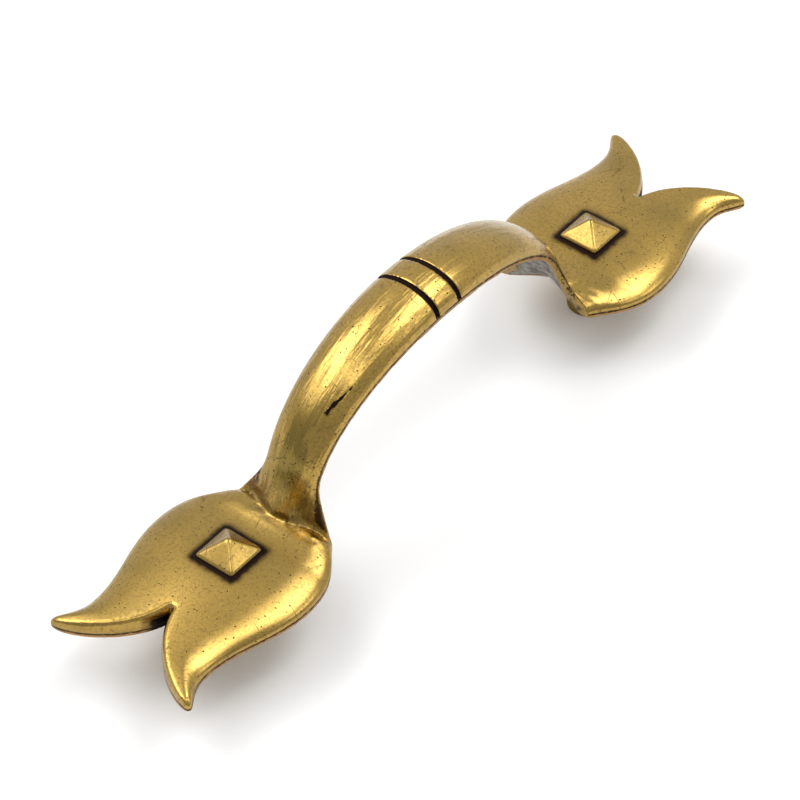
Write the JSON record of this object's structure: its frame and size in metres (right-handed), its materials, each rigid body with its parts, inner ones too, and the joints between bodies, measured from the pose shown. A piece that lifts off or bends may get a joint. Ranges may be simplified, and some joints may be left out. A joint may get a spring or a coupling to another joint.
{
  "type": "cabinet pull",
  "caption": "Arched cabinet pull with a hollow back, cast in one piece with tulip-shaped foot plates, pyramid studs and tapped bosses for fixing from behind.",
  "frame": {"origin": "midway between the two screw axes, on the plane of the boss ends", "axes": "+X along the pull, from one fixing screw to the other; +Y across it; +Z away from the door or drawer front, towards the grip"},
  "size_m": [0.1184, 0.025, 0.0332],
  "materials": {
    "antique_brass": "satin"
  },
  "bodies": {
    "root": {"pull_casting": "antique_brass"}
  },
  "joints": []
}
